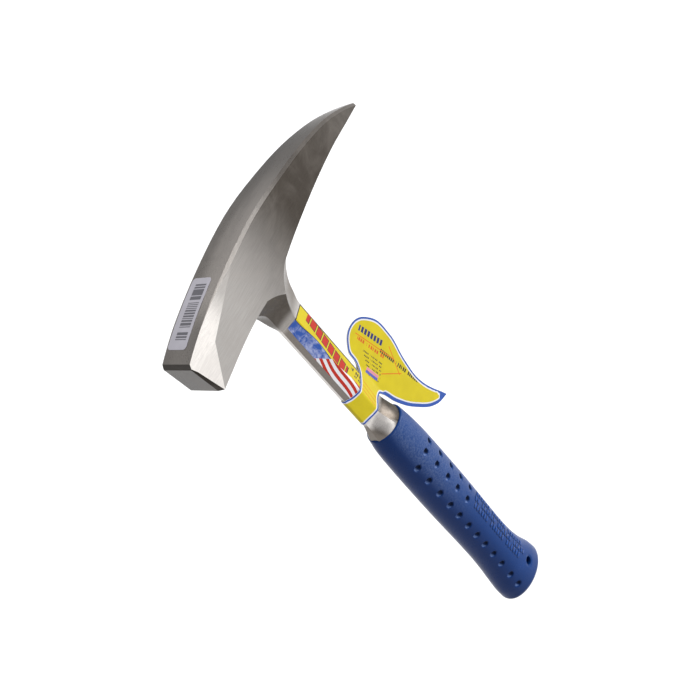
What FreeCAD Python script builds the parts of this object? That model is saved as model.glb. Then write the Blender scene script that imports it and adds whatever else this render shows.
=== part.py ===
import FreeCAD, Part
import os

# Rock hammer: one forging (square poll, long tapered pick, neck, shank and
# tang) in a moulded grip, with two shank labels, a barcode sticker and a
# folded hang tag round the shank.
# Working frame, in mm: Z up the handle from the butt, X towards the pick tip,
# -Y towards the front cheek. On export, everything is moved so that the
# origin is the centre of the lanyard hole.

V = FreeCAD.Vector

# Depth of the side views, which runs from -SIDE to SIDE
SIDE = 20.0

# Head, seen from the side: (x, z)
FACE_TOP = (-66.6, 315.3)
FACE_BOTTOM = (-63.9, 292.6)
CROWN = [(-50, 320.5), (-29, 325.0), (-4, 328.5), (20, 330.0), (45, 328.5),
         (66, 326.0), (82, 322.9), (98, 318.3), (112, 312.3)]
TIP_TOP = (123.6, 305.9)
TIP_NOSE = (124.6, 304.8)
TIP_BOTTOM = (123.2, 304.0)
PICK_UNDER = [(110, 305.4), (92, 307.0), (72, 307.3), (50, 305.8), (30, 303.2)]
PICK_ROOT = (14.0, 299.9)
POLL_ROOT = (-12.3, 296.8)
POLL_UNDER = [(-30, 296.8), (-47, 295.0)]

# Head, seen from above: (x, half width) along the pick, and the slope at which
# the sides reach the rounded tip
HEAD_HALF = 11.7
PLAN_BACK = -70.0
PLAN_START = 10.0
PICK_PLAN = [(38, 11.5), (58, 10.5), (74, 9.4), (90, 7.6), (106, 5.6)]
TIP_HALF = 2.6
TIP_X = 125.0
TIP_ROUND = 1.5
TIP_TAPER = 0.16
PLAN_Z = (270.0, 350.0)
EDGE_BEVEL = 1.5
FACE_BEVEL = 1.9

# Ground facets on the poll's cheeks: a point (x, z) on the facet's border, the
# border's lean from upright towards +X, and the tilt out of the cheek, degrees
POLL_FACETS = [((-44, 313.0), 68.0, 9.5), ((-58, 298.0), 37.0, 4.0)]
FACET_REACH = 120.0

# Handle steel at each z: half width towards the face, half width towards the
# pick, half edge, half ridge, and how far each flank bulges
SHANK_A = 10.2
SHANK_EDGE = 1.1
SHANK_RIDGE = 4.1
SHANK_ROUND = 0.5
FLATTEST = 0.004
SHANK_Z = (190.0, 271.5)
NECK = [(272.2, 10.22, 10.22, 1.14, 4.12, 0.0), (277.0, 11.2, 10.4, 2.5, 5.4, -0.3),
        (283.5, 12.3, 10.9, 4.3, 8.5, -0.8), (287.5, 13.5, 11.4, 5.5, 10.7, -0.9),
        (291.0, 15.6, 12.2, 6.7, 12.8, -0.8), (295.0, 19.4, 13.7, 8.2, 14.6, -0.5),
        (299.5, 25.0, 16.5, 10.3, 16.2, -0.1), (304.0, 32.0, 21.0, 11.5, 17.4, 0.0)]
FLARE = [(189.3, 10.22, 10.22, 1.14, 4.15, 0.02), (185.5, 10.6, 10.6, 1.6, 5.6, 0.5),
         (180.5, 11.4, 11.5, 2.4, 8.2, 1.5), (176.0, 12.0, 12.3, 3.2, 9.7, 2.2),
         (171.0, 12.2, 12.5, 3.4, 10.1, 2.4)]

# Tang inside the grip
TANG_HALF = (9.0, 2.5)
TANG_Z = (28.0, 172.0)
TANG_ROUND = 2.4
KEY_R = 3.5
KEY_Z = (60.0, 100.0, 140.0)

# Grip: (z, x towards the face, x towards the pick, half thickness)
GRIP = [(176.5, -12.7, 13.9, 10.9), (171.0, -13.6, 14.6, 11.5),
        (165.0, -14.4, 15.3, 12.1), (153.0, -14.9, 16.2, 12.7),
        (132.0, -15.3, 16.6, 13.1), (100.0, -15.5, 16.8, 13.2),
        (66.0, -15.2, 16.3, 12.9), (50.0, -15.3, 16.2, 12.8),
        (36.0, -15.9, 16.9, 13.0), (24.0, -17.0, 18.8, 13.3),
        (13.0, -18.0, 21.8, 13.5), (6.0, -17.9, 22.9, 13.3)]
BUTT_ROUND = 5.8
HOLE_X = 5.5
HOLE_Z = 16.0
HOLE_R = 2.8

# Labels on the shank flanks, and the sticker on the poll
LABEL_T = 0.1
LABEL_GAP = 0.01
LABEL_X = (-6.8, 9.5)
LABEL_Z = (196.0, 270.5)
STICKER_X = (-58.0, -20.5)
STICKER_Y = (-4.2, 9.2)
STICKER_T = 0.15
STICKER_GAP = 0.01
STICKER_ROUND = 2.0

# Folded hang tag: clearance round the shank, and where the band's ends meet
CARD_T = 0.3
TAG_GAP = 0.3
BAND_END_X = 13.5
BAND_Z = (190.6, 212.5)
WING = [(11.6, 213.5), (14.6, 225.5), (27, 232.2), (40.5, 221.5), (43.6, 203),
        (40.2, 183), (39.6, 165), (48.6, 138.6)]
WING_LOWER = [(38.5, 142.5), (24.5, 158.5), (16.4, 174.5), (11.6, 190.6)]


def vec(point, y=0.0):
    return V(point[0], y, point[1])


def spline_edge(points, start=None, end=None):
    curve = Part.BSplineCurve()
    if start:
        curve.interpolate(Points=points, InitialTangent=start, FinalTangent=end)
    else:
        curve.interpolate(points)
    return curve.toShape()


def line(start, end):
    return Part.LineSegment(start, end).toShape()


def crown_points():
    return [vec(p, -SIDE) for p in [FACE_TOP] + CROWN + [TIP_TOP]]


def head_side():
    """Side view of the head, given depth."""
    tip = Part.Arc(vec(TIP_TOP, -SIDE), vec(TIP_NOSE, -SIDE), vec(TIP_BOTTOM, -SIDE)).toShape()
    under = spline_edge([vec(p, -SIDE) for p in [TIP_BOTTOM] + PICK_UNDER + [PICK_ROOT]])
    poll = spline_edge([vec(p, -SIDE) for p in [POLL_ROOT] + POLL_UNDER + [FACE_BOTTOM]])
    edges = [spline_edge(crown_points()), tip, under,
             line(vec(PICK_ROOT, -SIDE), vec(POLL_ROOT, -SIDE)),
             poll, line(vec(FACE_BOTTOM, -SIDE), vec(FACE_TOP, -SIDE))]
    return Part.Face(Part.Wire(edges)).extrude(V(0, 2 * SIDE, 0))


def head_plan():
    """Top view of the head, tall enough to hold it."""
    bottom, top = PLAN_Z
    near = [V(x, -h, bottom) for x, h in PICK_PLAN]
    far = [V(x, h, bottom) for x, h in reversed(PICK_PLAN)]
    start_near = V(PLAN_START, -HEAD_HALF, bottom)
    start_far = V(PLAN_START, HEAD_HALF, bottom)
    tip_near = V(TIP_X - TIP_ROUND, -TIP_HALF, bottom)
    tip_far = V(TIP_X - TIP_ROUND, TIP_HALF, bottom)
    back_near = V(PLAN_BACK, -HEAD_HALF, bottom)
    back_far = V(PLAN_BACK, HEAD_HALF, bottom)
    out, back = V(1, 0, 0), V(-1, 0, 0)
    taper_near, taper_far = V(1, TIP_TAPER, 0), V(-1, TIP_TAPER, 0)
    edges = [line(back_near, start_near),
             spline_edge([start_near] + near + [tip_near], out, taper_near),
             Part.Arc(tip_near, V(TIP_X, 0, bottom), tip_far).toShape(),
             spline_edge([tip_far] + far + [start_far], taper_far, back),
             line(start_far, back_far),
             line(back_far, back_near)]
    return Part.Face(Part.Wire(edges)).extrude(V(0, 0, top - bottom))


def facet_cutter(border, lean, tilt):
    """A block that leaves the front cheek at its border line and cuts deeper
    towards the striking face. The border leans back from upright by lean."""
    block = Part.makeBox(FACET_REACH, SIDE, 2 * FACET_REACH, V(-FACET_REACH, -SIDE, -FACET_REACH))
    block.rotate(V(0, 0, 0), V(0, 0, 1), -tilt)
    block.rotate(V(0, 0, 0), V(0, 1, 0), lean)
    block.translate(V(border[0], -HEAD_HALF, border[1]))
    return block


def both_sides(shape):
    return [shape, shape.mirror(V(0, 0, 0), V(0, 1, 0))]


def middle(edge):
    return edge.valueAt(0.5 * (edge.FirstParameter + edge.LastParameter))


def bevelled_block():
    """The head with its face bevel and the bevels along the crown."""
    block = head_side().common(head_plan())
    crown = spline_edge(crown_points()).extrude(V(0, 2 * SIDE, 0))
    rim = [e for e in block.Edges if middle(e).x < FACE_BOTTOM[0] + 0.5]
    block = block.makeChamfer(FACE_BEVEL, rim)
    ridges = []
    for edge in block.Edges:
        point = middle(edge)
        on_crown = crown.distToShape(Part.Vertex(point))[0] < 0.01
        if on_crown and abs(point.y) > TIP_HALF and edge.Length > HEAD_HALF * 2:
            ridges.append(edge)
    return block.makeChamfer(EDGE_BEVEL, ridges)


def head():
    block = bevelled_block()
    cutters = []
    for border, lean, tilt in POLL_FACETS:
        cutters += both_sides(facet_cutter(border, lean, tilt))
    return block.cut(cutters)


def handle_section(z, left, right, edge, ridge, bulge):
    """Six-sided section; each flank is an arc from the ridge to the edge."""
    right_front, right_back = V(right, -edge, z), V(right, edge, z)
    left_front, left_back = V(-left, -edge, z), V(-left, edge, z)
    front, back = V(0, -ridge, z), V(0, ridge, z)
    swell = bulge if abs(bulge) > FLATTEST else FLATTEST
    mid = 0.5 * (edge + ridge) + swell
    edges = [line(right_back, right_front),
             Part.Arc(right_front, V(0.5 * right, -mid, z), front).toShape(),
             Part.Arc(front, V(-0.5 * left, -mid, z), left_front).toShape(),
             line(left_front, left_back),
             Part.Arc(left_back, V(-0.5 * left, mid, z), back).toShape(),
             Part.Arc(back, V(0.5 * right, mid, z), right_back).toShape()]
    return Part.Wire(edges)


def loft(wires):
    return Part.makeLoft(wires, True, False)


def forged_handle():
    """Shank, neck and flare as one solid with its narrow edges rounded."""
    low, high = SHANK_Z
    start = handle_section(high, SHANK_A, SHANK_A, SHANK_EDGE, SHANK_RIDGE, 0)
    end = handle_section(low, SHANK_A, SHANK_A, SHANK_EDGE, SHANK_RIDGE, 0)
    shank = loft([end, start])
    slab = Part.makeBox(4 * SIDE, 2 * HEAD_HALF, 2 * SIDE, V(-2 * SIDE, -HEAD_HALF, high))
    neck = loft([start] + [handle_section(*row) for row in NECK]).common(slab)
    flare = loft([end] + [handle_section(*row) for row in FLARE])
    handle = shank.fuse([neck, flare]).removeSplitter()
    edges = []
    for edge in handle.Edges:
        point = middle(edge)
        lengthways = edge.Length > SHANK_A and FLARE[-1][0] + 1 < point.z < NECK[-1][0] - 1
        beside = abs(point.x) > SHANK_A - 0.3 and 0.9 < abs(point.y) < 8
        if lengthways and beside:
            edges.append(edge)
    return handle.makeFillet(SHANK_ROUND, edges)


def tang():
    half_x, half_y = TANG_HALF
    low, high = TANG_Z
    bar = Part.makeBox(2 * half_x, 2 * half_y, high - low, V(-half_x, -half_y, low))
    corners = [e for e in bar.Edges if abs(e.CenterOfMass.z - low) < 0.1
               and abs(e.CenterOfMass.x) > half_x - 0.1]
    bar = bar.makeFillet(TANG_ROUND, corners)
    keys = [Part.makeCylinder(KEY_R, 2 * SIDE, V(0, -SIDE, z), V(0, 1, 0)) for z in KEY_Z]
    return bar.cut(keys)


def forging():
    """Head, handle steel and tang as one solid."""
    return head().fuse([forged_handle(), tang()]).removeSplitter()


def grip_outer():
    """Lofted ovals down to the rounded butt."""
    wires = []
    for z, left, right, half in GRIP:
        a = 0.5 * (right - left)
        centre = V(0.5 * (left + right), 0, z)
        wires.append(Part.Wire(Part.Ellipse(centre + V(a, 0, 0), centre + V(0, half, 0),
                                            centre).toShape()))
    body = loft(wires)
    left, right, half = GRIP[-1][1:]
    centre = V(0.5 * (left + right), 0, 0)
    foot = Part.Wire(Part.Ellipse(V(right, 0, 0), centre + V(0, half, 0), centre).toShape())
    butt = Part.makeLoft([wires[-1], foot], True, True)
    rim = [e for e in butt.Edges if abs(e.CenterOfMass.z) < 0.01]
    butt = butt.makeFillet(BUTT_ROUND, rim)
    return body.fuse(butt).removeSplitter()


def grip(steel):
    hole = Part.makeCylinder(HOLE_R, 2 * SIDE, V(HOLE_X, -SIDE, HOLE_Z), V(0, 1, 0))
    return grip_outer().cut([steel, hole])


def flank_y(x, offset):
    """Distance of the shank's front flank from its middle plane, plus an offset."""
    slope = (SHANK_RIDGE - SHANK_EDGE) / SHANK_A
    return SHANK_RIDGE - slope * abs(x) + offset


def shank_label(side):
    """A thin sheet bent over the shank's ridge, on the front (-1) or back (1)."""
    low, high = LABEL_Z
    left, right = LABEL_X
    inner, outer = LABEL_GAP, LABEL_GAP + LABEL_T
    outline = [(left, inner), (0, inner), (right, inner),
               (right, outer), (0, outer), (left, outer)]
    points = [V(x, side * flank_y(x, off), low) for x, off in outline]
    sheet = Part.Face(Part.makePolygon(points + points[:1]))
    return sheet.extrude(V(0, 0, high - low))


def barcode_sticker():
    """A thin sheet on the crown, cut to a rectangle with rounded corners."""
    low = [p + V(0, 0, STICKER_GAP) for p in crown_points()]
    high = [p + V(0, 0, STICKER_T) for p in crown_points()]
    outline = [line(low[0], high[0]), spline_edge(high), line(high[-1], low[-1]), spline_edge(low)]
    strip = Part.Face(Part.Wire(outline)).extrude(V(0, 2 * SIDE, 0))
    x0, x1 = STICKER_X
    y0, y1 = STICKER_Y
    low_z, high_z = PLAN_Z
    plate = Part.makeBox(x1 - x0, y1 - y0, high_z - low_z, V(x0, y0, low_z))
    upright = [e for e in plate.Edges if e.Length > x1 - x0 + 1]
    return strip.common(plate.makeFillet(STICKER_ROUND, upright))


def band_outline(gap):
    """The band's section at a gap from the shank, closing on itself at BAND_END_X."""
    edge, ridge, half = SHANK_EDGE + 0.3 * gap, SHANK_RIDGE + gap, SHANK_A + gap
    front = [V(BAND_END_X, -gap + TAG_GAP, 0), V(half, -edge, 0), V(0, -ridge, 0), V(-half, -edge, 0)]
    back = [V(p.x, -p.y, 0) for p in reversed(front)]
    return front + back


def hang_tag():
    """Closed band round the shank, with the doubled card of the wing beyond it."""
    low, high = BAND_Z
    inner = [V(p.x, p.y, low) for p in band_outline(TAG_GAP)]
    outer = [V(p.x, p.y, low) for p in band_outline(TAG_GAP + CARD_T)]
    ring = Part.Face(Part.makePolygon(outer + outer[:1]))
    hollow = Part.Face(Part.makePolygon(inner[1:-1] + inner[1:2]))
    band = ring.extrude(V(0, 0, high - low)).cut(hollow.extrude(V(0, 0, high - low)))
    upper = spline_edge([vec(p, -CARD_T) for p in WING])
    lower = spline_edge([vec(p, -CARD_T) for p in [WING[-1]] + WING_LOWER])
    side = line(vec(WING_LOWER[-1], -CARD_T), vec(WING[0], -CARD_T))
    wing = Part.Face(Part.Wire([upper, lower, side])).extrude(V(0, 2 * CARD_T, 0))
    return band.fuse(wing).removeSplitter()


def export(shape, node):
    """Moves a piece to the lanyard hole's frame and writes it."""
    solid = shape.Solids[0]
    solid.translate(V(-HOLE_X, 0, -HOLE_Z))
    solid.exportStep(os.path.join("parts", node + ".step"))


def main():
    os.makedirs("parts", exist_ok=True)
    steel = forging()
    export(grip(steel), "grip")
    export(steel, "forged_head_and_shank")
    export(shank_label(-1), "shank_label_front")
    export(shank_label(1), "shank_label_back")
    export(barcode_sticker(), "barcode_sticker")
    export(hang_tag(), "hang_tag")


main()
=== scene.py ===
"""Rock hammer with a card tag: the look of each piece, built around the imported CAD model."""
import math

import bmesh
import bpy
from mathutils import Matrix, Vector
from mathutils.kdtree import KDTree


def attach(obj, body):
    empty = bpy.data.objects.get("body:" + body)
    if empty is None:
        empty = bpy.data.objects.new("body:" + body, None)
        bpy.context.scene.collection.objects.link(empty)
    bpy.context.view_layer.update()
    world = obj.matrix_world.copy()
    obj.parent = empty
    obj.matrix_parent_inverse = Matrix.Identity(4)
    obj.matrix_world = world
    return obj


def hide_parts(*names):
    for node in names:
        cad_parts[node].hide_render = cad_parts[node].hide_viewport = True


bl_info = {
    "name": "Rock Hammer",
    "version": (1, 0, 0),
    "blender": (4, 5, 0),
    "location": "3D View > Sidebar > Rock Hammer",
    "description": "Builds a forged rock hammer with a cushioned grip, labels and a card tag",
    "category": "Add Mesh",
}

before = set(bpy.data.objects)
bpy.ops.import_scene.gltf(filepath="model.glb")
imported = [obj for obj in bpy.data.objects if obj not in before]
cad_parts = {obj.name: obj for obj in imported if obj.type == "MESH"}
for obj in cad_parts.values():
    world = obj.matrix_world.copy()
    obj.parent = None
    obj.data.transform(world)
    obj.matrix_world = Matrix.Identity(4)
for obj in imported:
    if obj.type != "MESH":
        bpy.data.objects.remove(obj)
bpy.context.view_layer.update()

MM = 0.001
# Working measures below are in millimetres: x from the handle's axis, z from the butt.
AXIS_X = -5.5
BUTT_Z = -16.0

# Grip: (z, x towards the face, x towards the pick, half thickness)
GRIP = [(176.5, -12.7, 13.9, 10.9), (171.0, -13.6, 14.6, 11.5),
        (165.0, -14.4, 15.3, 12.1), (153.0, -14.9, 16.2, 12.7),
        (132.0, -15.3, 16.6, 13.1), (100.0, -15.5, 16.8, 13.2),
        (66.0, -15.2, 16.3, 12.9), (50.0, -15.3, 16.2, 12.8),
        (36.0, -15.9, 16.9, 13.0), (24.0, -17.0, 18.8, 13.3),
        (13.0, -18.0, 21.8, 13.5), (5.8, -17.9, 22.9, 13.3)]
GRIP_LIP = [(176.5, 0.75), (176.45, 0.45), (176.25, 0.18), (175.95, 0.03)]
GRIP_STEP = 0.5
GRIP_AROUND = 184
BUTT_ROUND = 5.8
BUTT_FLAT = 7.2
# Socket round the tang and the flare: (z, half width, half thickness)
SOCKET = [(28.0, 9.1, 2.6), (171.0, 9.1, 2.6), (171.5, 11.4, 9.0), (176.2, 11.6, 9.3)]
LANYARD_R = 2.8
# Dimples: (degrees round from the pick side, heights); ribs: degrees, pitch and half sizes
DIMPLE_ROWS = [(129.6, [145.5, 132.5, 119.3, 106.5, 95.0, 83.3,
                        72.0, 61.0, 49.4, 38.0, 25.3, 14.3]),
               (90.6, [148.0, 135.0, 122.0, 110.0, 97.5]),
               (58.7, [147.0, 134.0, 121.0, 109.0, 97.0])]
RIB_ROWS = [54.0, 70.0, 85.0]
RIB_PITCH = 3.1
RIB_HALF = (1.85, 1.0)
RIB_Z = (24.0, 92.0)

# Card tag: wing outline (x, z), and how the band follows the shank
WING = [(12.6, 215.5), (14.6, 225.5), (27.0, 232.2), (40.5, 221.5), (43.6, 203.0),
        (40.2, 183.0), (39.6, 165.0), (48.6, 138.6)]
WING_LOWER = [(38.5, 142.5), (24.5, 158.5), (16.4, 174.5), (12.4, 187.5)]
BAND_TOP = [(0.0, 212.0), (7.0, 209.4), (13.0, 208.6), (19.5, 210.0), (24.0, 212.6)]
BAND_FOOT = [(23.5, 190.6), (12.6, 189.2), (0.0, 190.6)]
# The front leaf's section (x, y) from the fold to the wing, and how wide its bends are
WRAP = [(-10.8, 0.0), (-10.8, -1.28), (0.0, -4.7), (10.8, -1.28), (13.5, -0.3), (60.0, -0.3)]
WRAP_ROUND = 1.0
CARD_T = 0.28
CARD_GRID = 1.5
LOWER_BORDER = 0.9
WHITE_LINE = 0.78

# Levels of the ground steel by area, and how warm each area looks. Apart from the dark scale in
# the scoops, these levels are painted light and shade: painted highlights on the poll facet, the
# crown's front and the flare, painted shade on the cheek, crown and bevel that deepens towards the
# pick, on the striking face, its chamfer and brow, on the flare's side and the shank's flank, and
# a painted shadow on the flare's front under the tag.
STEEL_AREAS = {
    "cheek": (0.68, 0.0), "cheek to pick": (0.1, 0.12), "poll facet": (1.3, 0.0),
    "pick tip": (0.155, 0.08), "crown": (0.48, 0.03), "painted crown highlight": (0.92, 0.03),
    "crown to pick": (0.38, 0.03), "bevel": (0.85, 0.02), "bevel to pick": (0.36, 0.05),
    "striking face": (0.12, 0.04), "face chamfer": (0.04, 0.1), "face brow": (0.15, 0.05),
    "flare": (1.15, 0.0), "flare front": (0.07, 0.12), "flare side": (0.28, 0.08),
    "shank flank": (0.3, 0.06), "scoop": (0.11, 0.12), "scoop to pick": (0.42, 0.05)}

INK = (0.02, 0.018, 0.02, 1.0)
WHITE = (0.52, 0.52, 0.54, 1.0)
ORANGE = (0.46, 0.12, 0.005, 1.0)
NAVY = (0.018, 0.024, 0.1, 1.0)
RUST = (0.42, 0.07, 0.008, 1.0)
VIOLET = (0.07, 0.08, 0.3, 1.0)
PINK = (0.48, 0.18, 0.24, 1.0)
PALE_BLUE = (0.30, 0.33, 0.48, 1.0)
STICKER_PAPER = (0.36, 0.35, 0.385, 1.0)
STICKER_INK = (0.11, 0.108, 0.12, 1.0)
CARD_TONES = ((0.62, 0.6, 0.52, 1.0), (0.7, 0.68, 0.6, 1.0))
PAINTED_SHEEN = (0.08, 0.115, 0.22, 1.0)
GLINT = (0.07, 0.12, 0.28, 1.0)

# Camera, in the frame's metres; lights as (name, direction, spread in degrees, strength)
CAMERA_PLACE = (-0.27111, -0.40138, 0.56080)
CAMERA_AIM = (0.06747, 0.08187, 0.13610)
CAMERA_ROLL = -40.642
CAMERA_LENS = 56.7
SENSOR_WIDTH = 36.0
LIGHTS = (("soft_top", (0.1, 0.0, 1.0), 60.0, 2.45),
          ("soft_side", (0.72, -0.7, 0.08), 30.0, 5.2))
ROOM = (0.45, 0.45, 0.46, 1.0)
BACKDROP = (1.0, 1.0, 1.0, 1.0)
FLOOR_TONE = (0.9, 0.9, 0.9, 1.0)
FLOOR_DROP = 0.1
FLOOR_SIZE = 12.0


# ---------------------------------------------------------------- settings

class HammerSizes(bpy.types.PropertyGroup):
    """Sizes of the moulded and printed details."""
    dimple_depth: bpy.props.FloatProperty(
        name="Dimple depth", description="Depth of the pressed dimples in the grip",
        default=1.8 * MM, unit="LENGTH")
    dimple_width: bpy.props.FloatProperty(
        name="Dimple width", description="Width of a dimple round the grip",
        default=4.9 * MM, unit="LENGTH")
    rib_height: bpy.props.FloatProperty(
        name="Rib height", description="Height of the short raised grip ribs",
        default=0.6 * MM, unit="LENGTH")
    border: bpy.props.FloatProperty(
        name="Tag border", description="Width of the blue border printed round the tag",
        default=1.15 * MM, unit="LENGTH")


class HammerColours(bpy.types.PropertyGroup):
    """Colours of the finishes."""
    steel: bpy.props.FloatVectorProperty(
        name="Steel", description="Ground steel", default=(0.53, 0.505, 0.48),
        size=3, subtype="COLOR")
    vinyl: bpy.props.FloatVectorProperty(
        name="Vinyl", description="Moulded grip", default=(0.005, 0.030, 0.130),
        size=3, subtype="COLOR")
    yellow: bpy.props.FloatVectorProperty(
        name="Label yellow", description="Printed yellow field", default=(0.42, 0.34, 0.005),
        size=3, subtype="COLOR")
    blue: bpy.props.FloatVectorProperty(
        name="Print blue", description="Printed blue border", default=(0.02, 0.062, 0.26),
        size=3, subtype="COLOR")
    red: bpy.props.FloatVectorProperty(
        name="Print red", description="Printed red marks", default=(0.33, 0.016, 0.007),
        size=3, subtype="COLOR")


# ---------------------------------------------------------------- helpers

def at(x, y, z):
    """A working point in millimetres as a place in the frame, in metres."""
    return Vector(((x + AXIS_X) * MM, y * MM, (z + BUTT_Z) * MM))


def smooth_step(value):
    """The value clamped to 0 to 1 and eased at both ends."""
    value = min(1.0, max(0.0, value))
    return value * value * (3.0 - 2.0 * value)


def add_piece(mesh, name, materials):
    piece = bpy.data.objects.new(name, mesh)
    bpy.context.scene.collection.objects.link(piece)
    for material in materials:
        mesh.materials.append(material)
    return piece


def shade(mesh, degrees):
    """Smooth shading, with edges sharper than an angle kept crisp."""
    mesh.shade_smooth()
    mesh.set_sharp_from_angle(angle=math.radians(degrees))


def applied(piece):
    """The piece's mesh with its modifiers applied."""
    graph = bpy.context.evaluated_depsgraph_get()
    mesh = bpy.data.meshes.new_from_object(piece.evaluated_get(graph))
    piece.modifiers.clear()
    old, piece.data = piece.data, mesh
    bpy.data.meshes.remove(old)
    mesh.name = piece.name
    return mesh


# ---------------------------------------------------------------- node helpers

def add(tree, kind, inputs=None, **settings):
    """A node with its settings, and its sockets set or linked."""
    made = tree.nodes.new("ShaderNode" + kind)
    for key, value in settings.items():
        setattr(made, key, value)
    for key, value in (inputs or {}).items():
        if isinstance(value, bpy.types.NodeSocket):
            tree.links.new(value, made.inputs[key])
        else:
            made.inputs[key].default_value = value
    return made


def sums(tree, operation, first, second=0.0):
    """The result of a math node."""
    return add(tree, "Math", {0: first, 1: second}, operation=operation).outputs[0]


def times(tree, first, *rest):
    """The product of several masks."""
    product = first
    for mask in rest:
        product = sums(tree, "MULTIPLY", product, mask)
    return product


def split(tree, vector):
    """The X, Y and Z sockets of a vector."""
    return add(tree, "SeparateXYZ", {"Vector": vector}).outputs


def blend(tree, amount, first, second, kind="MIX"):
    """The first colour mixed towards the second by an amount."""
    made = add(tree, "Mix", data_type="RGBA", blend_type=kind)
    for name, value in (("Factor", amount), ("A", first), ("B", second)):
        socket = [s for s in made.inputs if s.name == name and s.enabled][0]
        if isinstance(value, bpy.types.NodeSocket):
            tree.links.new(value, socket)
        else:
            socket.default_value = value
    return [s for s in made.outputs if s.enabled][0]


def ramp(tree, value, low, high, out_low=0.0, out_high=1.0):
    """A smooth step in the value from low to high; low may be the larger."""
    made = add(tree, "MapRange", {"Value": value, "From Min": low, "From Max": high,
                                  "To Min": out_low, "To Max": out_high},
               interpolation_type="SMOOTHSTEP")
    return made.outputs[0]


def new_group(name, inputs, outputs):
    group = bpy.data.node_groups.new(name, "ShaderNodeTree")
    for label, kind, value in inputs:
        socket = group.interface.new_socket(label, in_out="INPUT", socket_type="NodeSocket" + kind)
        if value is not None:
            socket.default_value = value
    for label, kind in outputs:
        group.interface.new_socket(label, in_out="OUTPUT", socket_type="NodeSocket" + kind)
    return group, group.nodes.new("NodeGroupInput").outputs, group.nodes.new("NodeGroupOutput")


def use(tree, name, inputs):
    """The outputs of a shared effect, given its inputs."""
    made = add(tree, "Group", node_tree=bpy.data.node_groups[name])
    for key, value in inputs.items():
        if isinstance(value, bpy.types.NodeSocket):
            tree.links.new(value, made.inputs[key])
        else:
            made.inputs[key].default_value = value
    return made.outputs


def new_material(name):
    """A material, its node tree, its shader and the place in working millimetres."""
    material = bpy.data.materials.new(name)
    material.use_nodes = True
    tree = material.node_tree
    shader = tree.nodes["Principled BSDF"]
    place = add(tree, "TexCoord").outputs["Object"]
    mapped = add(tree, "Mapping", {"Vector": place, "Scale": (1 / MM, 1 / MM, 1 / MM),
                                   "Location": (-AXIS_X, 0.0, -BUTT_Z)})
    return material, tree, shader, mapped.outputs[0]


def rgba(colour, level=1.0):
    """A colour at a level, with full alpha."""
    return (colour[0] * level, colour[1] * level, colour[2] * level, 1.0)


def give(tree, shader, **links):
    """Links sockets to the shader's inputs of the same names."""
    for name, socket in links.items():
        tree.links.new(socket, shader.inputs[name.replace("_", " ")])


# ---------------------------------------------------------------- shared effects

def group_grain():
    """Fine ground lines that run one way, and small speckles."""
    group, given, out = new_group(
        "ground_grain", [("Vector", "Vector", None), ("Across", "Float", 2.2)],
        [("Lines", "Float"), ("Speckle", "Float")])
    stretch = add(group, "CombineXYZ", {"X": 0.09, "Y": given["Across"], "Z": given["Across"]})
    spread = add(group, "VectorMath", {0: given["Vector"], 1: stretch.outputs[0]},
                 operation="MULTIPLY")
    lines = add(group, "TexNoise", {"Vector": spread.outputs[0], "Scale": 1.0, "Detail": 3.0,
                                    "Roughness": 0.6})
    speckle = add(group, "TexNoise", {"Vector": given["Vector"], "Scale": 2.4, "Detail": 2.0})
    group.links.new(lines.outputs["Fac"], out.inputs["Lines"])
    group.links.new(speckle.outputs["Fac"], out.inputs["Speckle"])


def group_wear():
    """Soft patches where a surface is rubbed or soiled."""
    group, given, out = new_group(
        "rubbed_patches", [("Vector", "Vector", None), ("Size", "Float", 0.08),
                           ("Cover", "Float", 0.5)], [("Mask", "Float")])
    cloud = add(group, "TexNoise", {"Vector": given["Vector"], "Scale": given["Size"],
                                    "Detail": 4.0, "Roughness": 0.62, "Distortion": 0.6})
    low = sums(group, "SUBTRACT", 0.95, given["Cover"])
    mask = ramp(group, cloud.outputs["Fac"], low, sums(group, "ADD", low, 0.3))
    group.links.new(mask, out.inputs["Mask"])


def group_bar():
    """A printed bar: one where |u| and |v| lie inside its half length and half width."""
    group, given, out = new_group(
        "printed_bar", [("U", "Float", 0.0), ("V", "Float", 0.0), ("Half length", "Float", 1.0),
                        ("Half width", "Float", 0.4)], [("Mask", "Float")])
    along = sums(group, "LESS_THAN", sums(group, "ABSOLUTE", given["U"]), given["Half length"])
    across = sums(group, "LESS_THAN", sums(group, "ABSOLUTE", given["V"]), given["Half width"])
    group.links.new(sums(group, "MULTIPLY", along, across), out.inputs["Mask"])


def group_dashes():
    """A printed row of dashes of uneven length, with small gaps."""
    group, given, out = new_group(
        "printed_dashes", [("U", "Float", 0.0), ("V", "Float", 0.0), ("Half length", "Float", 8.0),
                           ("Half width", "Float", 0.4), ("Pitch", "Float", 1.3),
                           ("Fill", "Float", 0.7), ("Even", "Float", 0.0)], [("Mask", "Float")])
    bar = use(group, "printed_bar", {"U": given["U"], "V": given["V"],
                                     "Half length": given["Half length"],
                                     "Half width": given["Half width"]})["Mask"]
    step = sums(group, "DIVIDE", given["U"], given["Pitch"])
    uneven = add(group, "TexWhiteNoise", {"W": sums(group, "FLOOR", step)},
                 noise_dimensions="1D").outputs["Value"]
    kept = sums(group, "MAXIMUM", ramp(group, uneven, 0.0, 0.25, 0.0, 1.0), given["Even"])
    fill = sums(group, "MULTIPLY", given["Fill"], kept)
    dash = sums(group, "LESS_THAN", sums(group, "FRACT", step), fill)
    group.links.new(sums(group, "MULTIPLY", bar, dash), out.inputs["Mask"])


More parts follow.
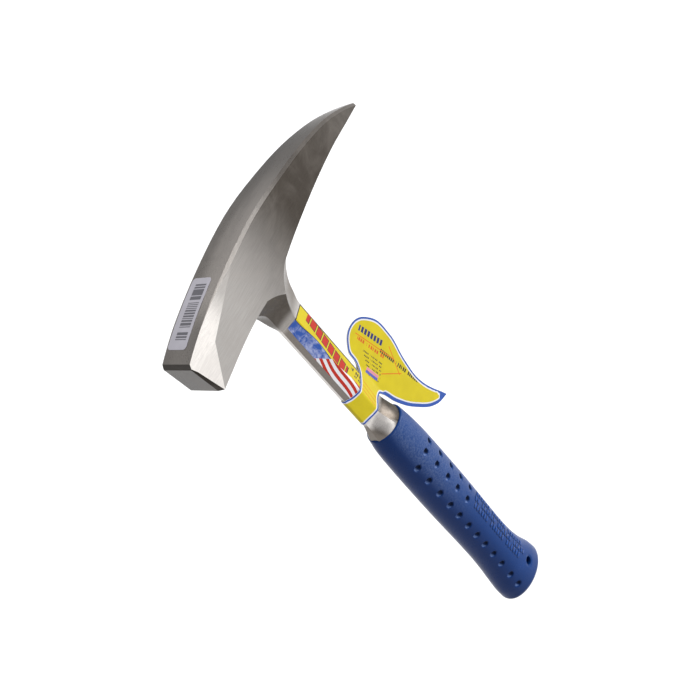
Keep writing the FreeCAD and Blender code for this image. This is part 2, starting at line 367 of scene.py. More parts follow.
def group_paper():
    """Faint fibre relief and tone of printed paper and card."""
    group, given, out = new_group("paper_fibre", [("Vector", "Vector", None)],
                                  [("Tone", "Float"), ("Relief", "Float")])
    fibre = add(group, "TexNoise", {"Vector": given["Vector"], "Scale": 3.5, "Detail": 4.0})
    cloud = add(group, "TexNoise", {"Vector": given["Vector"], "Scale": 0.12, "Detail": 2.0})
    tone = ramp(group, cloud.outputs["Fac"], 0.3, 0.7, 0.93, 1.0)
    group.links.new(tone, out.inputs["Tone"])
    group.links.new(fibre.outputs["Fac"], out.inputs["Relief"])


def build_groups():
    group_grain()
    group_wear()
    group_bar()
    group_dashes()
    group_paper()


# ---------------------------------------------------------------- steel

def head_masks(tree, part, facing, side):
    """Where the head's areas lie, in the order in which they are toned with painted light and
    shade.
    """
    head = ramp(tree, part["Z"], 286.0, 292.0)
    cheek = times(tree, ramp(tree, side, 0.78, 0.92), head)
    facet = times(tree, cheek, ramp(tree, facing["X"], -0.015, -0.05))
    diagonal = sums(tree, "ABSOLUTE", sums(tree, "SUBTRACT", side, 0.7))
    bevel = times(tree, ramp(tree, diagonal, 0.16, 0.08), ramp(tree, facing["Z"], 0.45, 0.6))
    crown = times(tree, ramp(tree, facing["Z"], 0.75, 0.9), head)
    # the crown's front side takes a painted highlight
    highlighted = times(tree, ramp(tree, part["Y"], 7.0, -9.0), ramp(tree, part["X"], -52.0, -30.0))
    slanted = ramp(tree, facing["X"], -0.45, -0.6)
    # painted highlight on the poll facet; painted shade over the cheek, crown and bevel towards
    # the pick and over the striking face, its chamfer and its brow
    return [("cheek", cheek),
            ("cheek to pick", times(tree, cheek, ramp(tree, part["X"], -30.0, 40.0))),
            ("poll facet", times(tree, facet, ramp(tree, part["X"], -24.0, -44.0))),
            ("pick tip", times(tree, cheek, ramp(tree, part["X"], 75.0, 105.0))),
            ("crown", crown),
            ("painted crown highlight", times(tree, crown, highlighted)),
            ("crown to pick", times(tree, crown, ramp(tree, part["X"], 10.0, 70.0))),
            ("bevel", bevel),
            ("bevel to pick", times(tree, bevel, ramp(tree, part["X"], 15.0, 50.0))),
            ("striking face", times(tree, ramp(tree, facing["X"], -0.8, -0.95), head)),
            ("face chamfer", times(tree, slanted, ramp(tree, side, 0.45, 0.6), head)),
            ("face brow", times(tree, slanted, ramp(tree, facing["Z"], 0.35, 0.5), head))]


def handle_masks(tree, part, facing, side):
    """Where the flare, the shank and the neck's scoops lie, in the order of toning; the flare and
    the shank's flank are toned with painted light and shade.
    """
    flare = ramp(tree, part["Z"], 192.0, 187.0)
    shank = times(tree, ramp(tree, part["Z"], 188.0, 194.0), ramp(tree, part["Z"], 276.0, 268.0))
    flank = times(tree, shank, ramp(tree, facing["X"], -0.1, -0.2), ramp(tree, side, 0.7, 0.8))
    # the concave scoops below the cheeks keep their dark forging scale
    scoop = times(tree, ramp(tree, part["Z"], 268.0, 279.0), ramp(tree, part["Z"], 305.0, 301.0),
                  ramp(tree, facing["Z"], 0.02, -0.1),
                  ramp(tree, sums(tree, "ABSOLUTE", part["X"]), 33.0, 27.0))
    # painted highlight on the flare, painted shadow on its front under the tag, painted shade on
    # its side and on the shank's flank
    return [("flare", flare),
            ("flare front", times(tree, flare, ramp(tree, facing["X"], -0.12, 0.12))),
            ("flare side", times(tree, flare, ramp(tree, facing["X"], -0.3, -0.6))),
            ("shank flank", flank),
            ("scoop", times(tree, scoop, ramp(tree, part["X"], 2.5, 0.5))),
            ("scoop to pick", times(tree, scoop, ramp(tree, part["X"], 0.5, 2.5)))]


def steel_material(colours):
    """Ground forging with painted light and shade: a painted highlight at the poll, painted shade
    down the pick, scale left in the scoops.
    """
    material, tree, shader, mm = new_material("ground_steel")
    part = split(tree, mm)
    grain = use(tree, "ground_grain", {"Vector": mm, "Across": 3.0})
    fine = use(tree, "ground_grain", {"Vector": mm, "Across": 9.0})
    patches = use(tree, "rubbed_patches", {"Vector": mm, "Size": 0.05, "Cover": 0.5})["Mask"]
    facing = split(tree, add(tree, "NewGeometry").outputs["Normal"])
    side = sums(tree, "ABSOLUTE", facing["Y"])
    red, green, blue = colours.steel

    def toned(level, warmth):
        return rgba((red * (1 + warmth), green, blue * (1 - warmth)), level)

    tone = toned(1.0, 0.0)
    areas = head_masks(tree, part, facing, side) + handle_masks(tree, part, facing, side)
    # each area's level is painted light and shade, except the scale in the scoops
    for area, mask in areas:
        tone = blend(tree, mask, tone, toned(*STEEL_AREAS[area]))
    streak = ramp(tree, grain["Lines"], 0.3, 0.7, 0.91, 1.06)
    tone = blend(tree, 1.0, tone, streak, "MULTIPLY")
    tone = blend(tree, times(tree, patches, 0.15), tone, toned(0.5, 0.05))
    rough = sums(tree, "ADD", ramp(tree, grain["Speckle"], 0.3, 0.7, 0.27, 0.37),
                 times(tree, patches, 0.06))
    height = sums(tree, "ADD", fine["Lines"], times(tree, grain["Lines"], 0.5))
    bump = add(tree, "Bump", {"Height": height, "Strength": 0.16, "Distance": 0.02 * MM})
    shader.inputs["Metallic"].default_value = 1.0
    shader.inputs["Anisotropic"].default_value = 0.3
    give(tree, shader, Base_Color=tone, Roughness=rough, Normal=bump.outputs[0])
    return material


# ---------------------------------------------------------------- grip

def grip_station(z):
    """Left, right and half thickness of the grip at z, on smooth lines through GRIP."""
    rows = sorted(GRIP)
    z = min(max(z, rows[0][0]), rows[-1][0])
    i = max(j for j in range(len(rows) - 1) if rows[j][0] <= z)
    before, low, high = rows[max(i - 1, 0)], rows[i], rows[i + 1]
    after = rows[min(i + 2, len(rows) - 1)]
    span = high[0] - low[0]
    t = (z - low[0]) / span
    values = []
    for k in (1, 2, 3):
        rise_low = (high[k] - before[k]) / (high[0] - before[0]) * span
        rise_high = (after[k] - low[k]) / (after[0] - low[0]) * span
        values.append((2 * t ** 3 - 3 * t ** 2 + 1) * low[k] + (t ** 3 - 2 * t ** 2 + t) * rise_low
                      + (3 * t ** 2 - 2 * t ** 3) * high[k] + (t ** 3 - t ** 2) * rise_high)
    return values


def grip_profile():
    """Rows (z, inset, socket half sizes) from the socket's end, over the lip, down to the butt."""
    rows = [(z, 0.0, (half_x, half_y)) for z, half_x, half_y in SOCKET]
    rows += [(z, inset, None) for z, inset in GRIP_LIP]
    z = 175.5
    while z > BUTT_ROUND + 0.3:
        rows.append((z, 0.0, None))
        z -= GRIP_STEP
    round_steps, flat_steps = 12, 8
    for k in range(round_steps + 1):
        turn = 0.5 * math.pi * k / round_steps
        rows.append((BUTT_ROUND * (1 - math.sin(turn)), BUTT_ROUND * (1 - math.cos(turn)), None))
    for k in range(1, flat_steps + 1):
        rows.append((0.0, BUTT_ROUND + BUTT_FLAT * k / flat_steps, None))
    return rows


def dimple(theta, z, girth, sizes):
    """How deep the dimples are at a point, in millimetres, and on which side of one it lies."""
    half_w = 0.5 * sizes.dimple_width / MM
    half_l = 0.88 * half_w
    depth = sizes.dimple_depth / MM
    press = lean = 0.0
    for angle, heights in DIMPLE_ROWS:
        across = (theta - angle) * girth / half_w
        if abs(across) >= 1.0:
            continue
        for height in heights:
            along = (z - height) / half_l
            inside = 1.0 - across ** 2 - along ** 2
            if inside > 0:
                skew = 1.0 + 0.35 * along
                press = max(press, depth * skew * smooth_step(inside / 0.6))
                lean = across - 0.4 * along
    return press, lean


def rib(theta, z, girth, sizes):
    """How far the short ribs stand up at a point, in millimetres."""
    low, high = RIB_Z
    half_across, half_along = RIB_HALF
    edge = 0.5
    raised = 0.0
    if not low < z < high:
        return raised
    for row, angle in enumerate(RIB_ROWS):
        across = (theta - angle) * girth
        step = (z - low) / RIB_PITCH + 0.37 * row
        count = math.floor(step)
        along = (step - count - 0.5) * RIB_PITCH
        gap = (count * (3 + row) + row) % 7 == 0
        inside = min((half_across - abs(across)) / edge, (half_along - abs(along)) / edge)
        if not gap and inside > 0:
            raised += sizes.rib_height / MM * smooth_step(inside)
    return raised


def lanyard_rim(x, z):
    """Depth of the soft roll into the lanyard hole, in millimetres."""
    depth, width = 0.55, 1.6
    reach = math.hypot(x + AXIS_X, z + BUTT_Z)
    return depth * smooth_step((LANYARD_R + 1.4 - reach) / width)


def socket_place(turn, half_x, half_y):
    """A point on the socket's wall: nearly square round the tang, oval round the flare."""
    power = 0.5 if half_y < 5 else 1.0
    cos, sin = math.cos(turn), math.sin(turn)
    return (math.copysign(abs(cos) ** power, cos) * half_x,
            math.copysign(abs(sin) ** power, sin) * half_y)


def grip_mesh(sizes):
    """The grip as a lattice of rings, shaped ring by ring."""
    rows = grip_profile()
    bm = bmesh.new()
    bmesh.ops.create_cone(bm, cap_ends=True, segments=GRIP_AROUND, radius1=1.0,
                          radius2=1.0, depth=len(rows) - 1)
    bmesh.ops.translate(bm, verts=bm.verts, vec=(0, 0, 0.5 * (len(rows) - 1)))
    upright = [e for e in bm.edges if abs(e.verts[0].co.z - e.verts[1].co.z) > 0.5]
    bmesh.ops.subdivide_edges(bm, edges=upright, cuts=len(rows) - 2)
    depth_layer = bm.verts.layers.float.new("pressed")
    # which side of a dimple a point lies on, for the vinyl's painted shade and painted glint
    lean_layer = bm.verts.layers.float.new("lean")
    for vert in bm.verts:
        z, inset, socket = rows[round(vert.co.z)]
        turn = math.atan2(vert.co.y, vert.co.x)
        if socket:
            vert.co = at(*socket_place(turn, *socket), z)
            continue
        left, right, half = grip_station(z)
        a, centre = 0.5 * (right - left), 0.5 * (right + left)
        theta = math.degrees(abs(turn))
        girth = math.radians(math.hypot(a * math.sin(turn), half * math.cos(turn)))
        depth = lean = 0.0
        if inset == 0.0:
            depth, lean = dimple(theta, z, girth, sizes)
            depth -= rib(theta, z, girth, sizes)
        x = centre + (a - inset) * math.cos(turn)
        if z < 30.0 and x > 0 and abs(math.sin(turn)) > 0.5:
            depth += lanyard_rim(x, z)
        out = Vector((math.cos(turn) / a, math.sin(turn) / half, 0.0)).normalized()
        vert.co = at(x - out.x * depth, (half - inset) * math.sin(turn) - out.y * depth, z)
        vert[depth_layer] = depth
        vert[lean_layer] = lean
    bmesh.ops.recalc_face_normals(bm, faces=bm.faces)
    mesh = bpy.data.meshes.new("cushion_grip")
    bm.to_mesh(mesh)
    bm.free()
    return mesh


def hole_cutter():
    """A round bar through the lanyard hole, whose centre is the frame's origin."""
    bm = bmesh.new()
    turn = Matrix.Rotation(math.radians(90), 4, "X")
    radius = LANYARD_R * MM
    bmesh.ops.create_cone(bm, cap_ends=True, segments=64, radius1=radius, radius2=radius,
                          depth=0.06, matrix=turn)
    mesh = bpy.data.meshes.new("lanyard_cutter")
    bm.to_mesh(mesh)
    bm.free()
    return bpy.data.objects.new("lanyard_cutter", mesh)


def vinyl_material(colours):
    """Satin moulded vinyl with a pebbled skin, with painted shade in its recesses, on the side
    towards the face and at the butt, and a painted sheen and painted glints.
    """
    material, tree, shader, mm = new_material("moulded_vinyl")
    grain = use(tree, "ground_grain", {"Vector": mm, "Across": 0.8})
    rub = use(tree, "rubbed_patches", {"Vector": mm, "Size": 0.09, "Cover": 0.45})["Mask"]
    skin = add(tree, "TexVoronoi", {"Vector": mm, "Scale": 1.6}, feature="SMOOTH_F1")
    pebble = add(tree, "TexNoise", {"Vector": mm, "Scale": 1.1, "Detail": 3.0})
    depth = add(tree, "Attribute", attribute_name="pressed").outputs["Fac"]
    lean = add(tree, "Attribute", attribute_name="lean").outputs["Fac"]
    part = split(tree, mm)
    facing = split(tree, add(tree, "NewGeometry").outputs["Normal"])
    vinyl = colours.vinyl
    pale = rgba([c * 1.3 + 0.004 for c in vinyl])
    highlighted = rgba([c * 1.7 + 0.01 for c in vinyl])
    shaded_vinyl = (0.1 * vinyl[0], 0.35 * vinyl[1], 0.5 * vinyl[2], 1.0)
    dark = rgba(vinyl, 0.25)
    tone = blend(tree, times(tree, rub, 0.45), rgba(vinyl), pale)
    # painted shade on the side towards the face and at the butt
    tone = blend(tree, times(tree, ramp(tree, facing["X"], 0.1, -0.75), 0.6), tone, shaded_vinyl)
    tone = blend(tree, ramp(tree, part["Z"], 20.0, -10.0, 0.0, 0.35), tone, shaded_vinyl)
    # a painted sheen makes the front of the neck paler than the rest
    sheen_mask = times(tree, ramp(tree, part["Z"], 70.0, 140.0),
                    ramp(tree, facing["Y"], -0.75, -0.97),
                    ramp(tree, pebble.outputs["Fac"], 0.3, 0.7, 0.1, 0.5))
    tone = blend(tree, sheen_mask, tone, PAINTED_SHEEN)
    # each dimple has painted shade on one side and a painted glint on the other
    hollow = ramp(tree, depth, 0.15, 0.7)
    tone = blend(tree, times(tree, hollow, ramp(tree, lean, 0.35, -0.1)), tone, dark)
    tone = blend(tree, times(tree, hollow, ramp(tree, lean, 0.3, 0.62)), tone, GLINT)
    # the ribs take a painted highlight on top and painted shade round their feet
    tone = blend(tree, times(tree, ramp(tree, depth, -0.1, -0.4), 0.6), tone, highlighted)
    foot = times(tree, ramp(tree, depth, 0.0, -0.05), ramp(tree, depth, -0.35, -0.15))
    tone = blend(tree, foot, tone, dark)
    rough = sums(tree, "ADD", ramp(tree, grain["Speckle"], 0.3, 0.7, 0.27, 0.36),
                 times(tree, rub, -0.05))
    height = sums(tree, "ADD", times(tree, skin.outputs["Distance"], 0.5), pebble.outputs["Fac"])
    bump = add(tree, "Bump", {"Height": height, "Strength": 0.2, "Distance": 0.05 * MM})
    shader.inputs["Specular IOR Level"].default_value = 0.09
    give(tree, shader, Base_Color=tone, Roughness=rough, Normal=bump.outputs[0])
    return material


# ---------------------------------------------------------------- printed pieces

def print_finish(tree, shader, mm, tone):
    """Satin paper or film with a faint fibre, carrying the printed tone."""
    paper = use(tree, "paper_fibre", {"Vector": mm})
    scuff = use(tree, "rubbed_patches", {"Vector": mm, "Size": 0.15, "Cover": 0.35})["Mask"]
    shown = blend(tree, 1.0, tone, paper["Tone"], "MULTIPLY")
    rough = sums(tree, "ADD", 0.3, times(tree, scuff, 0.15))
    bump = add(tree, "Bump", {"Height": paper["Relief"], "Strength": 0.12, "Distance": 0.03 * MM})
    shader.inputs["Specular IOR Level"].default_value = 0.16
    give(tree, shader, Base_Color=shown, Roughness=rough, Normal=bump.outputs[0])


def turned(tree, part, centre, degrees):
    """Along and across coordinates about a centre (x, z), turned by degrees."""
    x = sums(tree, "SUBTRACT", part["X"], centre[0])
    z = sums(tree, "SUBTRACT", part["Z"], centre[1])
    cos, sin = math.cos(math.radians(degrees)), math.sin(math.radians(degrees))
    along = sums(tree, "ADD", times(tree, x, cos), times(tree, z, sin))
    across = sums(tree, "SUBTRACT", times(tree, z, cos), times(tree, x, sin))
    return along, across


def bar(tree, part, tone, colour, centre, half_length, half_width, degrees=0.0):
    """The tone with a bar printed over it."""
    along, across = turned(tree, part, centre, degrees)
    mask = use(tree, "printed_bar", {"U": along, "V": across, "Half length": half_length,
                                     "Half width": half_width})["Mask"]
    return blend(tree, mask, tone, colour)


def dashes(tree, part, tone, colour, centre, half_length, half_width, degrees, pitch, fill=0.72,
           even=0.0):
    """The tone with a row of dashes printed over it, of one length where even is one."""
    along, across = turned(tree, part, centre, degrees)
    mask = use(tree, "printed_dashes", {"U": along, "V": across, "Half length": half_length,
                                        "Half width": half_width, "Pitch": pitch,
                                        "Fill": fill, "Even": even})["Mask"]
    return blend(tree, mask, tone, colour)


def near(tree, value, centre, reach):
    """One where the value lies within reach of the centre."""
    gap = sums(tree, "ABSOLUTE", sums(tree, "SUBTRACT", value, centre))
    return sums(tree, "LESS_THAN", gap, reach)


def label_blocks(tree, part, tone, red):
    """Outline, red blocks with dark rims, and small dark dashes on the label's yellow half."""
    tone = bar(tree, part, tone, INK, (9.25, 233.0), 40.0, 0.25, 90.0)
    tone = bar(tree, part, tone, INK, (4.0, 270.3), 8.0, 0.25)
    lean, pitch = 83.0, 5.95
    tone = dashes(tree, part, tone, INK, (4.9, 242.2), 20.9, 3.0, lean, pitch, 0.86, 1.0)
    tone = dashes(tree, part, tone, red, (4.9, 242.6), 20.6, 2.6, lean, pitch, 0.74, 1.0)
    tone = dashes(tree, part, tone, INK, (6.9, 208.5), 10.5, 0.85, 90.0, 1.7, 0.62)
    return dashes(tree, part, tone, INK, (4.6, 206.5), 8.5, 0.6, 90.0, 1.3, 0.6)


def label_waves(tree, part, tone, mm, blue, red):
    """The label's other half: cloudy blue behind a waved line, then red and white waves."""
    wave = sums(tree, "SINE", times(tree, part["Z"], 0.17))
    edge = sums(tree, "ADD", part["X"], times(tree, wave, 0.8))
    tone = blend(tree, ramp(tree, edge, 0.15, 0.05), tone, INK)
    tone = blend(tree, ramp(tree, edge, -0.15, -0.25), tone, blue)
    cloud = use(tree, "rubbed_patches", {"Vector": mm, "Size": 0.22, "Cover": 0.56})["Mask"]
    inside = sums(tree, "LESS_THAN", edge, -0.5)
    tone = blend(tree, times(tree, cloud, inside, 0.9), tone, PALE_BLUE)
    drop = times(tree, sums(tree, "SUBTRACT", part["Z"], 232.0), 0.16)
    sweep = sums(tree, "SUBTRACT", edge, drop)
    lower = times(tree, sums(tree, "LESS_THAN", edge, 1.2),
                  sums(tree, "LESS_THAN", sums(tree, "ADD", part["Z"], sweep), 236.0))
    pitch = 3.6
    stripe = sums(tree, "LESS_THAN", sums(tree, "FRACT", sums(tree, "DIVIDE", sweep, pitch)), 0.5)
    return blend(tree, lower, tone, blend(tree, stripe, WHITE, red))


def label_material(name, colours):
    """Printed shank label: yellow with red blocks on one half, patches and waves on the other."""
    material, tree, shader, mm = new_material(name)
    part = split(tree, mm)
    blue, red = rgba(colours.blue), rgba(colours.red)
    tone = label_blocks(tree, part, rgba(colours.yellow), red)
    tone = label_waves(tree, part, tone, mm, blue, red)
    print_finish(tree, shader, mm, tone)
    return material


def sticker_material():
    """Price sticker: pale grey paper with plain bars across it."""
    material, tree, shader, mm = new_material("sticker_paper")
    part = split(tree, mm)
    step = sums(tree, "DIVIDE", part["X"], 0.48)
    uneven = add(tree, "TexWhiteNoise", {"W": sums(tree, "FLOOR", step)}, noise_dimensions="1D")
    lines = sums(tree, "LESS_THAN", uneven.outputs["Value"], 0.5)
    mask = times(tree, lines, near(tree, part["X"], -38.5, 15.0), near(tree, part["Y"], 1.6, 3.9))
    print_finish(tree, shader, mm, blend(tree, mask, STICKER_PAPER, STICKER_INK))
    return material


def printed_card(colours, sizes):
    """Printed side of the tag: yellow field inside a white line and a blue border."""
    material, tree, shader, mm = new_material("printed_card")
    rim = add(tree, "Attribute", attribute_name="rim_distance").outputs["Fac"]
    border = sizes.border / MM
    tone = tag_print(tree, split(tree, mm), rgba(colours.yellow))
    for width, colour in ((border + WHITE_LINE, WHITE), (border, rgba(colours.blue))):
        tone = blend(tree, ramp(tree, rim, width + 0.08, width - 0.08), tone, colour)
    print_finish(tree, shader, mm, tone)
    return material


def plain_card():
    """Unprinted inside and cut edge of the card."""
    material, tree, shader, mm = new_material("plain_card")
    grain = use(tree, "ground_grain", {"Vector": mm})["Speckle"]
    print_finish(tree, shader, mm, blend(tree, grain, *CARD_TONES))
    return material


def tag_print(tree, part, tone):
    """Plain bars and thin lines in place of wording."""
    tone = dashes(tree, part, tone, NAVY, (32.6, 215.5), 11.0, 1.7, -76.0, 2.9, 0.68, 1.0)
    tone = dashes(tree, part, tone, RUST, (27.3, 211.5), 12.5, 1.0, -78.0, 1.9, 0.7)
    for k in range(6):
        centre = (23.9 - 1.75 * k, 206.8 - 1.6 * k)
        tone = dashes(tree, part, tone, INK, centre, 9.0 - 0.7 * k, 0.42, -78.0, 1.2, 0.66)
    tone = dashes(tree, part, tone, INK, (34.5, 185.0), 19.5, 1.15, -80.0, 1.75, 0.68)
    tone = bar(tree, part, tone, ORANGE, (30.0, 209.0), 18.0, 0.3, -76.0)
    tone = bar(tree, part, tone, ORANGE, (26.6, 188.0), 9.0, 0.3, -52.0)
    tone = bar(tree, part, tone, ORANGE, (34.0, 190.5), 9.5, 0.3, -112.0)
    tone = bar(tree, part, tone, VIOLET, (15.3, 201.4), 5.6, 0.8, -80.0)
    tone = bar(tree, part, tone, PINK, (17.0, 201.7), 5.6, 0.8, -80.0)
    for x in (1.8, 4.2, 6.6):
        tone = bar(tree, part, tone, ORANGE, (x, 200.5), 8.0, 0.2, 84.0)
    return tone


# ---------------------------------------------------------------- tag

def wrap_lengths():
    """Distance from the fold to each corner of WRAP, along the card."""
    total, marks = 0.0, [0.0]
    for (x0, y0), (x1, y1) in zip(WRAP, WRAP[1:]):
        total += math.hypot(x1 - x0, y1 - y0)
        marks.append(total)
    return marks


def wrapped(s):
    """Place (x, y) of the front leaf's outer side at distance s from the fold, bends rounded."""
    marks = wrap_lengths()

    def straight(value):
        value = max(value, 0.0)
        i = max(j for j in range(len(marks) - 1) if marks[j] <= value)
        t = (value - marks[i]) / (marks[i + 1] - marks[i])
        return Vector(WRAP[i]).lerp(Vector(WRAP[i + 1]), t)

    for mark in marks[1:-1]:
        if abs(s - mark) < WRAP_ROUND:
            t = (s - mark + WRAP_ROUND) / (2 * WRAP_ROUND)
            start, corner = straight(mark - WRAP_ROUND), straight(mark)
            end = straight(mark + WRAP_ROUND)
            return start.lerp(corner, t).lerp(corner.lerp(end, t), t)
    return straight(s)


def card_outline():
    """The unfolded card's closed outline, as a smooth curve made a mesh."""
    shift = wrap_lengths()[4] - WRAP[4][0]
    front = BAND_TOP + [(x + shift, z) for x, z in WING + WING_LOWER] + BAND_FOOT
    back = [(-s, z) for s, z in reversed(front[1:-1])]
    tip = front.index((WING[-1][0] + shift, WING[-1][1]))
    outline = front + back
    curve = bpy.data.curves.new("card_outline", "CURVE")
    curve.dimensions = "2D"
    curve.fill_mode = "NONE"
    curve.resolution_u = 24
    spline = curve.splines.new("BEZIER")
    spline.bezier_points.add(len(outline) - 1)
    spline.use_cyclic_u = True
    corners = (tip, len(front) + len(back) - tip)
    for index, (point, (s, z)) in enumerate(zip(spline.bezier_points, outline)):
        point.co = (s, z, 0.0)
        kind = "VECTOR" if index in corners else "AUTO"
        point.handle_left_type = kind
        point.handle_right_type = kind
    holder = bpy.data.objects.new("card_outline", curve)
    bpy.context.scene.collection.objects.link(holder)
    bpy.context.view_layer.update()
    graph = bpy.context.evaluated_depsgraph_get()
    mesh = bpy.data.meshes.new_from_object(holder.evaluated_get(graph))
    bpy.data.objects.remove(holder)
    return mesh


def tag_mesh():
    """The card cut on a grid, given its distance from the rim, then wrapped round the shank."""
    bm = bmesh.new()
    bm.from_mesh(card_outline())
    bmesh.ops.remove_doubles(bm, verts=bm.verts, dist=0.001)
    sheet = bmesh.ops.contextual_create(bm, geom=bm.edges[:])["faces"][0]
    if sheet.normal.z < 0:
        sheet.normal_flip()
    rim = KDTree(len(bm.verts))
    for index, vert in enumerate(bm.verts):
        rim.insert(vert.co, index)
    rim.balance()
    cuts = [CARD_GRID * k for k in range(38)]
    for mark in wrap_lengths()[1:-1]:
        cuts += [mark + WRAP_ROUND * k / 3 for k in range(-3, 4)]
    planes = [((cut, 0, 0), (1, 0, 0)) for cut in cuts + [-c for c in cuts[1:]]]
    planes += [((0, 137.0 + CARD_GRID * k, 0), (0, 1, 0)) for k in range(64)]
    for place, normal in planes:
        geometry = bm.verts[:] + bm.edges[:] + bm.faces[:]
        bmesh.ops.bisect_plane(bm, geom=geometry, plane_co=place, plane_no=normal)
    rim_layer = bm.verts.layers.float.new("rim_distance")
    for vert in bm.verts:
        s, z = vert.co.x, vert.co.y
        nearest, _, distance = rim.find(vert.co)
        # the blue border is wider along the wing's lower edge
        below = abs(nearest.x) > 26.0 and nearest.y < 205.0 - 1.83 * (abs(nearest.x) - 25.3)
        vert[rim_layer] = distance - (LOWER_BORDER if below else 0.0)
        x, y = wrapped(abs(s))
        vert.co = at(x, y if s >= 0 else -y, z)
    bmesh.ops.recalc_face_normals(bm, faces=bm.faces)
    mesh = bpy.data.meshes.new("card_tag")
    bm.to_mesh(mesh)
    bm.free()
    return mesh


# ---------------------------------------------------------------- stage

def build_camera():
    place, aim = Vector(CAMERA_PLACE), Vector(CAMERA_AIM)
    turn = (aim - place).to_track_quat("-Z", "Y").to_matrix().to_4x4()
    roll = Matrix.Rotation(math.radians(CAMERA_ROLL), 4, "Z")
    data = bpy.data.cameras.new("camera")
    data.lens = CAMERA_LENS
    data.sensor_width = SENSOR_WIDTH
    data.clip_start = 0.01
    data.clip_end = 60.0
    camera = bpy.data.objects.new("camera", data)
    camera.matrix_world = Matrix.Translation(place) @ turn @ roll
    bpy.context.scene.collection.objects.link(camera)
    bpy.context.scene.camera = camera


def build_light(name, source, spread, strength):
    """A broad, even light from the direction of source."""
    data = bpy.data.lights.new(name, "SUN")
    data.angle = math.radians(spread)
    data.energy = strength
    light = bpy.data.objects.new(name, data)
    light.rotation_euler = Vector(source).to_track_quat("Z", "Y").to_euler()
    bpy.context.scene.collection.objects.link(light)


def build_floor():
    bm = bmesh.new()
    bmesh.ops.create_grid(bm, x_segments=1, y_segments=1, size=FLOOR_SIZE,
                          matrix=Matrix.Translation((0, 0, BUTT_Z * MM - FLOOR_DROP)))
    mesh = bpy.data.meshes.new("floor")
    bm.to_mesh(mesh)
    bm.free()
    material = bpy.data.materials.new("pale_floor")
    material.use_nodes = True
    shader = material.node_tree.nodes["Principled BSDF"]
    shader.inputs["Base Color"].default_value = FLOOR_TONE
    shader.inputs["Roughness"].default_value = 0.9
    shader.inputs["Specular IOR Level"].default_value = 0.1
    add_piece(mesh, "floor", [material])


def build_world():
    """An even grey room that is seen as a plain white backdrop."""
    world = bpy.data.worlds.new("soft_room")
    world.use_nodes = True
    tree = world.node_tree
    seen = add(tree, "LightPath").outputs["Is Camera Ray"]
    tree.links.new(blend(tree, seen, ROOM, BACKDROP), tree.nodes["Background"].inputs["Color"])
    bpy.context.scene.world = world


class ROCKHAMMER_OT_stage(bpy.types.Operator):
    """Adds the pale floor, the soft lights and the camera"""
    bl_idname = "rockhammer.stage"
    bl_label = "Stage"

    def execute(self, context):
        context.scene.view_settings.view_transform = "Standard"
        build_camera()
        build_floor()
        build_world()
        for light in LIGHTS:
            build_light(*light)
        return {"FINISHED"}


class ROCKHAMMER_OT_forging(bpy.types.Operator):
    """Finishes the one-piece head and shank in ground steel"""
    bl_idname = "rockhammer.forging"
    bl_label = "Forging"

    def execute(self, context):
        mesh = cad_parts["forged_head_and_shank"].data
        mesh.materials.clear()
        mesh.materials.append(steel_material(context.scene.hammer_colours))
        return {"FINISHED"}


class ROCKHAMMER_OT_grip(bpy.types.Operator):
    """Builds the cushioned grip with its dimples, ribs and lanyard hole"""
    bl_idname = "rockhammer.grip"
    bl_label = "Grip"

    def execute(self, context):
        scene = context.scene
        piece = add_piece(grip_mesh(scene.hammer_sizes), "cushion_grip",
                          [vinyl_material(scene.hammer_colours)])
        cutter = hole_cutter()
        cut = piece.modifiers.new("lanyard_hole", "BOOLEAN")
        cut.operation = "DIFFERENCE"
        cut.solver = "EXACT"
        cut.object = cutter
        shade(applied(piece), 40)
        bpy.data.objects.remove(cutter)
        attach(piece, "hammer")
        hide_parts("grip")
        return {"FINISHED"}


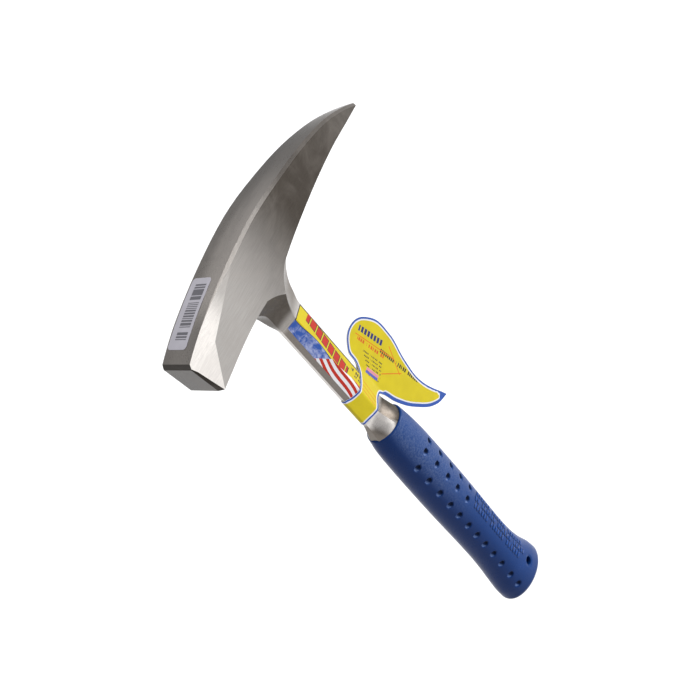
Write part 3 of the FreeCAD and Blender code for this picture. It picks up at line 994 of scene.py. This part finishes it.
class ROCKHAMMER_OT_labels(bpy.types.Operator):
    """Prints the two shank labels and the bar sticker"""
    bl_idname = "rockhammer.labels"
    bl_label = "Labels"

    def execute(self, context):
        colours = context.scene.hammer_colours
        finishes = {"shank_label_front": label_material("front_label_print", colours),
                    "shank_label_back": label_material("back_label_print", colours),
                    "barcode_sticker": sticker_material()}
        for node, finish in finishes.items():
            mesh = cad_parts[node].data
            mesh.materials.clear()
            mesh.materials.append(finish)
        return {"FINISHED"}


class ROCKHAMMER_OT_tag(bpy.types.Operator):
    """Folds the printed card tag round the shank"""
    bl_idname = "rockhammer.tag"
    bl_label = "Tag"

    def execute(self, context):
        scene = context.scene
        colours = scene.hammer_colours
        materials = [printed_card(colours, scene.hammer_sizes), plain_card()]
        piece = add_piece(tag_mesh(), "card_tag", materials)
        thick = piece.modifiers.new("card_thickness", "SOLIDIFY")
        thick.thickness = CARD_T * MM
        thick.offset = -1.0
        thick.material_offset = 1
        thick.material_offset_rim = 1
        shade(applied(piece), 30)
        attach(piece, "tag")
        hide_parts("hang_tag")
        return {"FINISHED"}


class ROCKHAMMER_PT_panel(bpy.types.Panel):
    """Sizes, colours and building steps of the rock hammer"""
    bl_idname = "ROCKHAMMER_PT_panel"
    bl_label = "Rock Hammer"
    bl_space_type = "VIEW_3D"
    bl_region_type = "UI"
    bl_category = "Rock Hammer"

    def draw(self, context):
        for group in (context.scene.hammer_sizes, context.scene.hammer_colours):
            for name in group.__annotations__:
                self.layout.prop(group, name)
        for operator in OPERATORS:
            self.layout.operator(operator.bl_idname)


OPERATORS = (ROCKHAMMER_OT_stage, ROCKHAMMER_OT_forging, ROCKHAMMER_OT_grip,
             ROCKHAMMER_OT_labels, ROCKHAMMER_OT_tag)
CLASSES = (HammerSizes, HammerColours) + OPERATORS + (ROCKHAMMER_PT_panel,)


def register():
    for cls in CLASSES:
        bpy.utils.register_class(cls)
    bpy.types.Scene.hammer_sizes = bpy.props.PointerProperty(type=HammerSizes)
    bpy.types.Scene.hammer_colours = bpy.props.PointerProperty(type=HammerColours)


def unregister():
    del bpy.types.Scene.hammer_sizes
    del bpy.types.Scene.hammer_colours
    for cls in reversed(CLASSES):
        bpy.utils.unregister_class(cls)


def main():
    register()
    build_groups()
    bpy.ops.rockhammer.stage()
    bpy.ops.rockhammer.forging()
    bpy.ops.rockhammer.grip()
    bpy.ops.rockhammer.labels()
    bpy.ops.rockhammer.tag()


if __name__ == "__main__":
    main()
